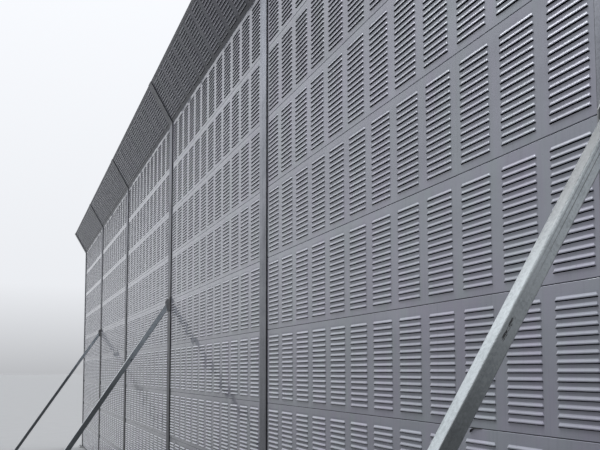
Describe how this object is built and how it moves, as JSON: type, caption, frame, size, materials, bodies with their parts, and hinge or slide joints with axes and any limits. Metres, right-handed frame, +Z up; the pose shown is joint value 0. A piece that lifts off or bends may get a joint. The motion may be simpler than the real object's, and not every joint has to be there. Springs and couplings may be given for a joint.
{
  "type": "louvred acoustic noise barrier row with canted cap",
  "caption": "Free-standing metal noise barrier row: louvred acoustic panels stacked between steel posts, a cap row canted to the front and raking tube struts.",
  "frame": {"origin": "centre of the underside of the first post's base plate, at the far left end of the row seen from the front", "axes": "+X along the wall from the first post to the last, +Y to the plain back, -Y to the louvred front, +Z up"},
  "size_m": [15.25, 1.8708, 5.0092],
  "materials": {
    "panel_sheet": "silver-grey coated sheet, semi-gloss",
    "galvanised_post": "hot-dip galvanised, dull",
    "galvanised_plate": "hot-dip galvanised plate",
    "galvanised_tube": "galvanised square tube with streaks and scuffs",
    "edge_strip": "folded coated sheet"
  },
  "bodies": {
    "root": {"post_1": "galvanised_post", "post_2": "galvanised_post", "post_3": "galvanised_post", "post_4": "galvanised_post", "post_5": "galvanised_post", "post_6": "galvanised_post", "cap_arm_1": "galvanised_post", "cap_arm_2": "galvanised_post", "cap_arm_3": "galvanised_post", "cap_arm_4": "galvanised_post", "cap_arm_5": "galvanised_post", "cap_arm_6": "galvanised_post", "base_plate_1": "galvanised_plate", "base_plate_2": "galvanised_plate", "base_plate_3": "galvanised_plate", "base_plate_4": "galvanised_plate", "base_plate_5": "galvanised_plate", "base_plate_6": "galvanised_plate", "bay_1_panels": "panel_sheet", "bay_2_panels": "panel_sheet", "bay_3_panels": "panel_sheet", "bay_4_panels": "panel_sheet", "bay_5_panels": "panel_sheet", "cap_panel_1": "panel_sheet", "cap_panel_2": "panel_sheet", "cap_panel_3": "panel_sheet", "cap_panel_4": "panel_sheet", "cap_panel_5": "panel_sheet", "cap_strip_1": "edge_strip", "cap_strip_2": "edge_strip", "cap_strip_3": "edge_strip", "cap_strip_4": "edge_strip", "cap_strip_5": "edge_strip", "strut_2": "galvanised_tube", "strut_4": "galvanised_tube", "strut_6": "galvanised_tube", "strut_cleat_2": "galvanised_plate", "strut_cleat_4": "galvanised_plate", "strut_cleat_6": "galvanised_plate", "strut_foot_2": "galvanised_plate", "strut_foot_4": "galvanised_plate", "strut_foot_6": "galvanised_plate"}
  },
  "joints": []
}
